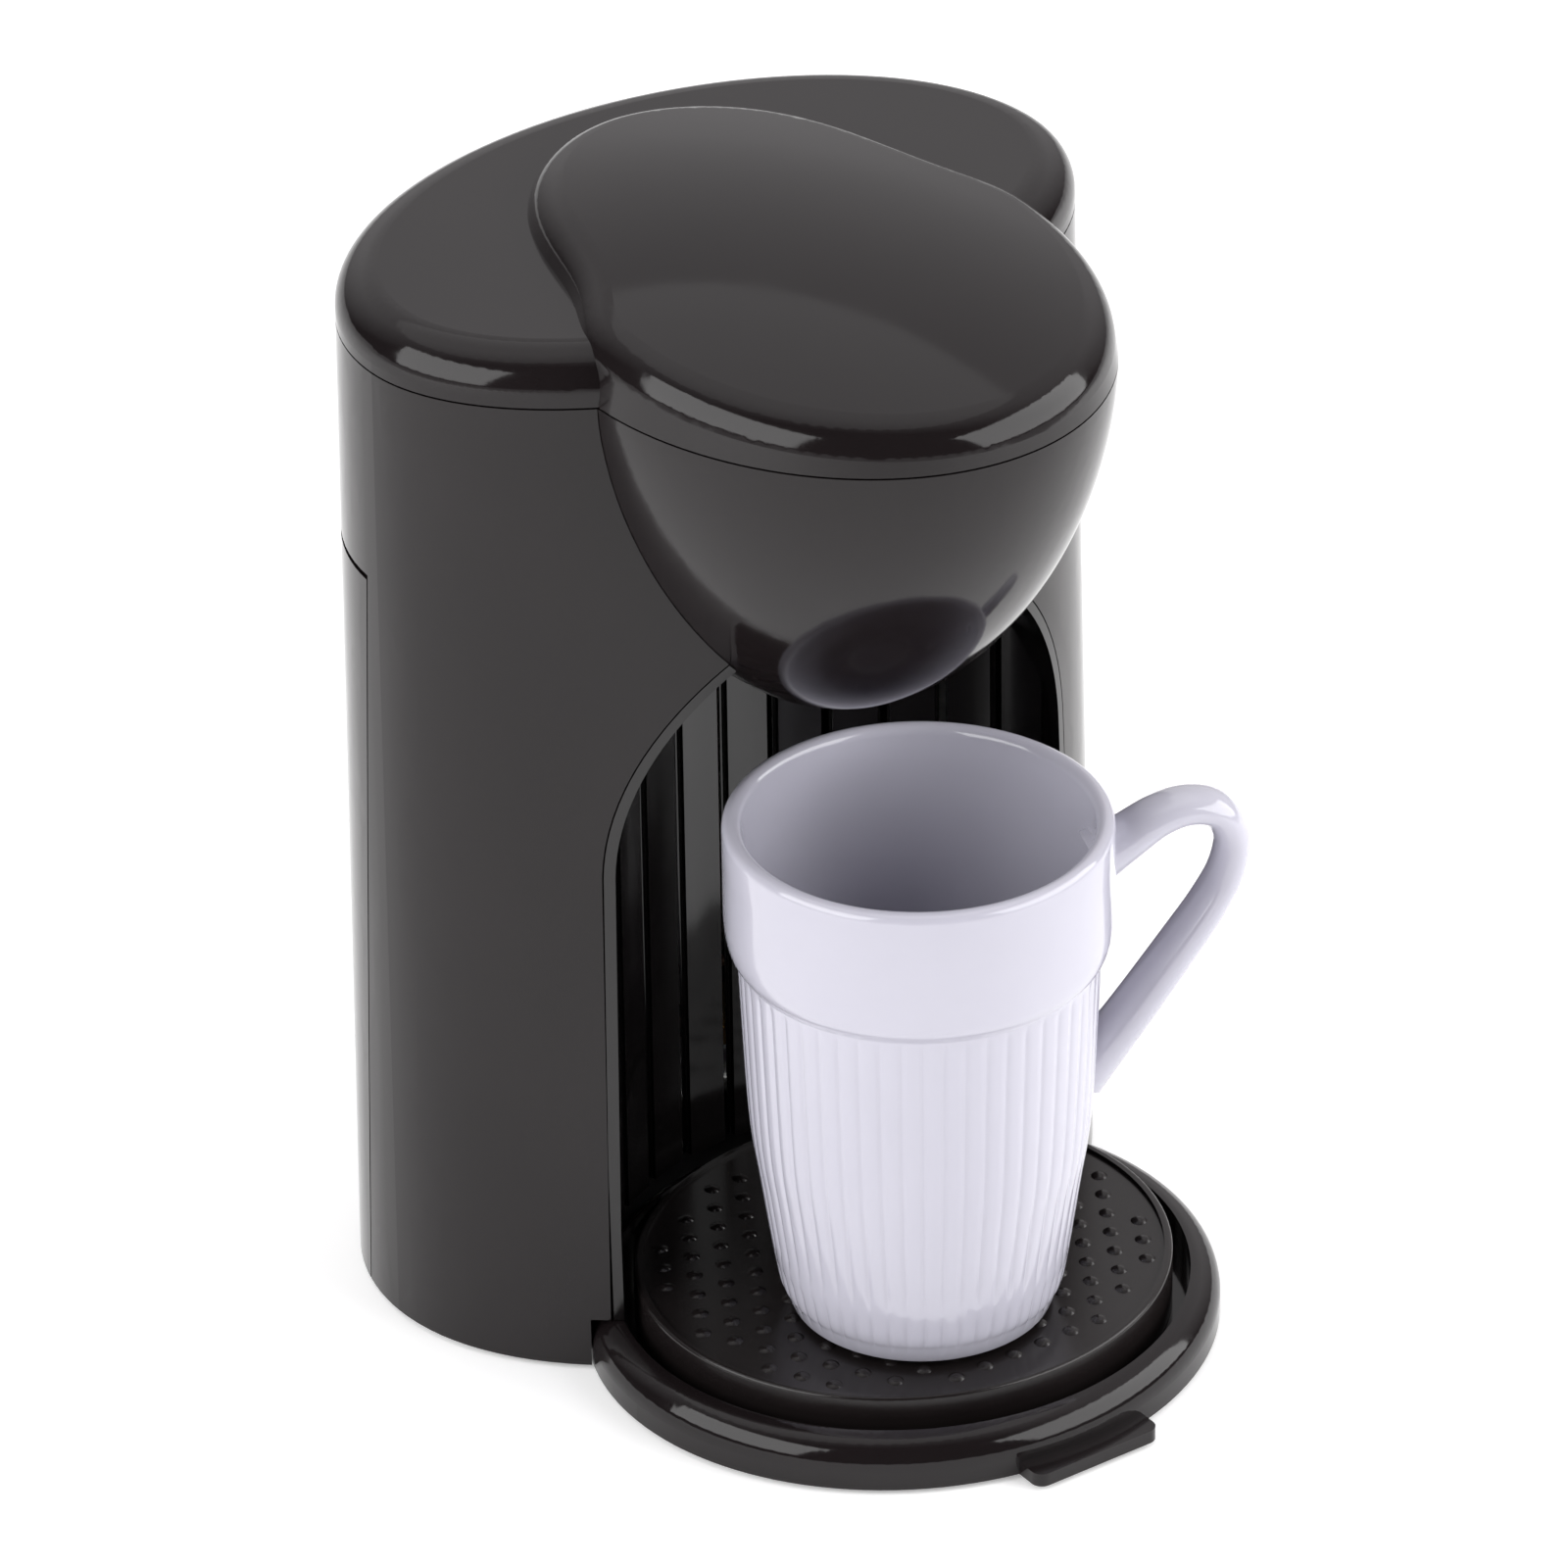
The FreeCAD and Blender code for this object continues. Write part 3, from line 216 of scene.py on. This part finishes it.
BLACK = surface("gloss_black_plastic", (0.0082, 0.0062, 0.0066), (0.0108, 0.0083, 0.0088),
                (0.07, 0.12), grain=900.0, bump_mm=0.0015, ior=1.38)
TRAY_BLACK = surface("tray_black_plastic", (0.009, 0.0072, 0.0072), (0.0135, 0.0107, 0.0107),
                     (0.16, 0.26), grain=700.0, bump_mm=0.004, ior=1.4)
BAY_BLACK = surface("bay_black_plastic", (0.0055, 0.0047, 0.0048), (0.008, 0.007, 0.0072),
                    (0.1, 0.16), grain=800.0, bump_mm=0.002)
MATTE_BLACK = surface("matte_black_plastic", (0.012, 0.011, 0.011), (0.02, 0.019, 0.019),
                      (0.42, 0.6), grain=1600.0, bump_mm=0.02)
RUBBER = surface("foot_rubber", (0.015, 0.015, 0.015), (0.03, 0.03, 0.03), (0.6, 0.8),
                 grain=900.0, bump_mm=0.03)
SILICONE = surface("silicone_rubber", (0.55, 0.54, 0.5), (0.68, 0.67, 0.62), (0.35, 0.5),
                   grain=500.0, bump_mm=0.01, transmission=0.15)
TANK = surface("tank_plastic", (0.45, 0.48, 0.5), (0.6, 0.63, 0.66), (0.25, 0.38), grain=700.0,
               bump_mm=0.006, transmission=0.3)
INNER = surface("inner_plastic", (0.16, 0.16, 0.17), (0.24, 0.24, 0.25), (0.4, 0.55),
                grain=1200.0, bump_mm=0.015)
HEATER = surface("cast_aluminium", (0.5, 0.5, 0.51), (0.68, 0.68, 0.69), (0.28, 0.42),
                 grain=420.0, bump_mm=0.02, metallic=1.0)
STEEL = surface("brushed_steel", (0.42, 0.42, 0.42), (0.58, 0.58, 0.57), (0.22, 0.34),
                grain=300.0, bump_mm=0.008, metallic=1.0, stretch=(1, 1, 12))
BRASS = surface("brass", (0.45, 0.31, 0.12), (0.62, 0.45, 0.2), (0.25, 0.4), grain=500.0,
                bump_mm=0.008, metallic=1.0)
WIRE_BROWN = surface("wire_brown", (0.09, 0.035, 0.015), (0.14, 0.055, 0.025), (0.35, 0.5),
                     grain=900.0, bump_mm=0.01)
WIRE_BLUE = surface("wire_blue", (0.02, 0.06, 0.2), (0.035, 0.09, 0.28), (0.35, 0.5),
                    grain=900.0, bump_mm=0.01)
PORCELAIN = surface("porcelain_glaze", (0.485, 0.475, 0.55), (0.515, 0.505, 0.58), (0.06, 0.12),
                    grain=140.0, bump_mm=0.006, coat=0.4)


def mesh_cloth():
    """Fine woven filter mesh: crossing wires from two wave textures."""
    mat, tree, shader = material("filter_mesh_steel")
    coords = tree.nodes.new("ShaderNodeTexCoord")
    heights = []
    for direction in ("X", "Z"):
        wave = tree.nodes.new("ShaderNodeTexWave")
        wave.bands_direction = direction
        wave.inputs["Scale"].default_value = 420.0
        tree.links.new(coords.outputs["Object"], wave.inputs["Vector"])
        heights.append(wave.outputs["Fac"])
    weave = tree.nodes.new("ShaderNodeMath")
    weave.operation = "MAXIMUM"
    tree.links.new(heights[0], weave.inputs[0])
    tree.links.new(heights[1], weave.inputs[1])
    colour = ramp(tree, weave.outputs["Value"], (0.1, 0.09, 0.07), (0.6, 0.55, 0.42))
    tree.links.new(colour, shader.inputs["Base Color"])
    bumped(tree, shader, weave.outputs["Value"], 0.1 * MM)
    shader.inputs["Metallic"].default_value = 0.9
    shader.inputs["Roughness"].default_value = 0.35
    return mat


SLOT_MATERIALS = {
    "black_gloss": BLACK, "bay_black": BAY_BLACK, "black_matte": MATTE_BLACK,
    "tray_black": TRAY_BLACK, "foot_rubber": RUBBER, "silicone": SILICONE, "tank_plastic": TANK,
    "inner_plastic": INNER, "heater_metal": HEATER, "steel": STEEL, "mesh_steel": mesh_cloth(),
    "brass_part": BRASS, "wire_brown": WIRE_BROWN, "wire_blue": WIRE_BLUE,
    "porcelain": PORCELAIN,
}


def dress_nodes():
    """Every CAD node gets the material of its slot in the record."""
    for entry in frame["record"]["subparts"]:
        piece = frame["nodes"][entry["node"]]
        piece.data.materials.clear()
        piece.data.materials.append(SLOT_MATERIALS[entry["material_slot"]])
        smooth(piece, 30.0)


# ---------------------------------------------------------------- the mug

def mug_frame():
    """The mug's axis in plan and the heights of its foot and its rim."""
    low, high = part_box("mug")
    radius = MUG_RADIUS * MM
    x = low[0] + radius
    y = high[1] - radius
    return Vector((x, y, 0)), low[2], high[2]


def flute(angle, z, foot, band_low):
    """Depth of the grooves between the mug's upright ribs: none at the foot and at the band."""
    foot_fade, band_fade, sharpness = 4.0, 2.2, 1.6
    depth = FLUTE_DEPTH * MM
    groove = 1 - abs(math.sin(FLUTES / 2 * angle))
    ends = min((z - foot) / (foot_fade * MM), (band_low - z) / (band_fade * MM), 1.0)
    return -depth * max(ends, 0.0) * groove ** sharpness


def make_mug():
    """The mug's body, turned from one outline; returned with its axis and its rim's height."""
    axis, foot, rim = mug_frame()
    band_low = foot + BAND_HEIGHT * MM
    groove_start, foot_ring = 2.0, 26.7

    def at(radius, height):
        return (radius * MM, foot + height * MM)

    wall = curve_through([at(27.4, 0.7), at(28.6, 4.0), at(30.2, 9.0), at(33.3, 30.0),
                          at(35.5, 47.0), at(37.1, 80.0), at(37.2, 83.4)], 9)
    step = [at(37.5, 84.1), at(38.1, 84.8), at(38.8, 86.0), at(39.35, 87.6), at(39.75, 90.0)]
    band = [at(39.95, 93.0), at(39.98, 98.0), at(39.98, 106.0)]
    lip = []
    lip_height = (rim - foot) / MM - LIP_RADIUS
    lip_steps = 8
    for index in range(lip_steps + 1):
        turn = math.pi * index / lip_steps
        reach = LIP_RADIUS - LIP_SHRINK
        lip.append(at(MUG_RADIUS - LIP_RADIUS + reach * math.cos(turn),
                      lip_height + reach * math.sin(turn)))
    inside = curve_through([at(36.0, lip_height - 4), at(36.0, 80.0), at(31.2, 30.0),
                            at(26.5, 11.0), at(21.0, 7.0), at(10.0, 6.2)], 8)
    under = [at(0, 1.6), at(22.0, 1.6), at(24.4, 1.2), at(25.0, 0.1), at(26.6, 0.05)]
    outline = under + wall + step + band + lip + inside + [at(0, 6.1)]
    bm = bmesh.new()

    def ripple(angle, radius, z):
        if radius > foot_ring * MM and z < band_low and is_outside(radius, z, foot):
            return flute(angle, z, foot + groove_start * MM, band_low)
        return 0.0

    lathe(bm, outline, FLUTES * 12, axis[:2], ripple)
    body = mesh_piece("mug_body", bm, 50.0)
    return body, axis, rim


def is_outside(radius, z, foot):
    """Whether a profile point lies clear of a rough outline of the inner wall, and so gets ribs."""
    height = (z - foot) / MM
    margin = 0.3
    floor_corner, bend = 12.0, 30.0
    floor_radius, bend_radius, slope = 27.2, 31.2, 0.096
    if height < floor_corner:
        inner = floor_radius
    else:
        inner = bend_radius + max(height - bend, 0.0) * slope
    return radius / MM > inner + margin


def make_handle(axis, rim):
    """The ear-shaped handle: an oval section along a smooth line, widening where it joins."""
    across = Vector((math.cos(HANDLE_TURN), math.sin(HANDLE_TURN), 0))
    side = Vector((-math.sin(HANDLE_TURN), math.cos(HANDLE_TURN), 0))
    # (distance from the mug's axis, height below the rim, half thickness) down the handle
    ear = [(37.0, -15.4, 6.2), (43.0, -12.2, 4.9), (50.5, -7.8, 4.1), (57.0, -6.4, 3.8),
           (63.0, -8.4, 3.7), (66.2, -15.0, 3.7), (65.0, -22.8, 3.7), (61.2, -30.2, 3.9),
           (55.8, -38.2, 4.2), (44.8, -53.6, 4.6), (38.8, -61.4, 5.0), (34.0, -67.6, 5.4)]
    line = curve_through(ear, 8)
    bm = bmesh.new()
    rings = []
    segments = 28
    least_width, width_share = 4.6, 0.22
    for index, (reach, drop, half_depth) in enumerate(line):
        before = line[max(index - 1, 0)]
        after = line[min(index + 1, len(line) - 1)]
        heading = Vector((after[0] - before[0], after[1] - before[1])).normalized()
        centre = axis + across * reach * MM + Vector((0, 0, rim + drop * MM))
        normal = across * -heading.y + Vector((0, 0, heading.x))
        ring = []
        for corner in range(segments):
            angle = 2 * math.pi * corner / segments
            half_width = least_width + width_share * half_depth
            ring.append(bm.verts.new(centre + normal * half_depth * MM * math.cos(angle)
                                     + side * half_width * MM * math.sin(angle)))
        rings.append(ring)
    for low, high in zip(rings, rings[1:]):
        for corner in range(segments):
            after = (corner + 1) % segments
            bm.faces.new((low[corner], low[after], high[after], high[corner]))
    bm.faces.new(rings[0][::-1])
    bm.faces.new(rings[-1])
    return mesh_piece("mug_handle", bm, 60.0)


def build_mug():
    """The mug's two pieces, which stand in for the CAD mug on its own body."""
    body, axis, rim = make_mug()
    handle = make_handle(axis, rim)
    for piece in (body, handle):
        piece.data.materials.append(PORCELAIN)
        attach(piece, "cup")
        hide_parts("mug")


# ---------------------------------------------------------------- studio

def soft_box(name, at, aim, size, radiance, shape="RECTANGLE"):
    """A studio light of a given brightness."""
    light = bpy.data.lights.new(name, "AREA")
    light.shape = shape
    light.size, light.size_y = size
    light.energy = radiance * math.pi * size[0] * size[1]
    lamp = bpy.data.objects.new(name, light)
    bpy.context.scene.collection.objects.link(lamp)
    lamp.location = at
    direction = Vector(aim) - Vector(at)
    lamp.rotation_euler = direction.to_track_quat("-Z", "Y").to_euler()


def build_world():
    """A dim room that brightens towards a ceiling above and behind the machine."""
    world = bpy.data.worlds.new("studio")
    bpy.context.scene.world = world
    world.use_nodes = True
    tree = world.node_tree
    coords = tree.nodes.new("ShaderNodeTexCoord")
    towards = tree.nodes.new("ShaderNodeVectorMath")
    towards.operation = "DOT_PRODUCT"
    towards.inputs[1].default_value = Vector((0.35, 0.5, 0.8)).normalized()
    tree.links.new(coords.outputs["Generated"], towards.inputs[0])
    colour = ramp(tree, towards.outputs["Value"], (0.04, 0.04, 0.04), (0.82, 0.8, 0.81), 0.35, 0.8)
    tree.links.new(colour, tree.nodes["Background"].inputs["Color"])
    tree.nodes["Background"].inputs["Strength"].default_value = 1.0


def build_studio():
    """The world, a pale floor and three soft boxes."""
    bpy.context.scene.view_settings.view_transform = "Standard"
    build_world()
    bm = bmesh.new()
    bmesh.ops.create_grid(bm, x_segments=8, y_segments=8, size=6.0)
    floor = mesh_piece("studio_floor", bm)
    floor.location.z = CAD_BOX[0][2] - FLOOR_GAP
    paper, tree, shader = material("pale_paper")
    tree.links.new(ramp(tree, noise(tree, 3.0), (0.9, 0.9, 0.9), (0.94, 0.94, 0.94)),
                   shader.inputs["Base Color"])
    shader.inputs["Roughness"].default_value = 0.9
    shader.inputs["Emission Color"].default_value = (1.0, 1.0, 1.0, 1)
    shader.inputs["Emission Strength"].default_value = 0.3
    floor.data.materials.append(paper)

    centre = (0.0, 0.0, 0.12)
    soft_box("left_box", (-1.36, 0.0, 0.75), centre, (1.5, 1.1), 4.0)
    soft_box("right_box", (0.96, -0.96, 0.75), centre, (2.0, 1.1), 4.0)
    soft_box("overhead_box", (0.0, 0.3, 1.6), centre, (1.9, 1.9), 0.35, "ELLIPSE")


def build_camera():
    """The photograph's long-lens view from the front left, slightly rolled."""
    azimuth = math.radians(CAMERA_AZIMUTH)
    pitch = math.radians(CAMERA_PITCH)
    roll = math.radians(CAMERA_ROLL)
    forward = Vector((math.sin(azimuth) * math.cos(pitch), math.cos(azimuth) * math.cos(pitch),
                      -math.sin(pitch)))
    level_right = Vector((math.cos(azimuth), -math.sin(azimuth), 0))
    level_up = level_right.cross(forward)
    right = math.cos(roll) * level_right + math.sin(roll) * level_up
    up = math.cos(roll) * level_up - math.sin(roll) * level_right
    camera = bpy.data.objects.new("camera", bpy.data.cameras.new("camera"))
    bpy.context.scene.collection.objects.link(camera)
    turn = Matrix((right, up, -forward)).transposed()
    camera.matrix_world = Matrix.Translation(CAMERA_PLACE) @ turn.to_4x4()
    camera.data.sensor_width = SENSOR_WIDTH
    camera.data.lens = LENS
    camera.data.clip_start = 0.05
    camera.data.clip_end = 50.0
    bpy.context.scene.camera = camera


dress_nodes()
build_mug()
build_studio()
build_camera()
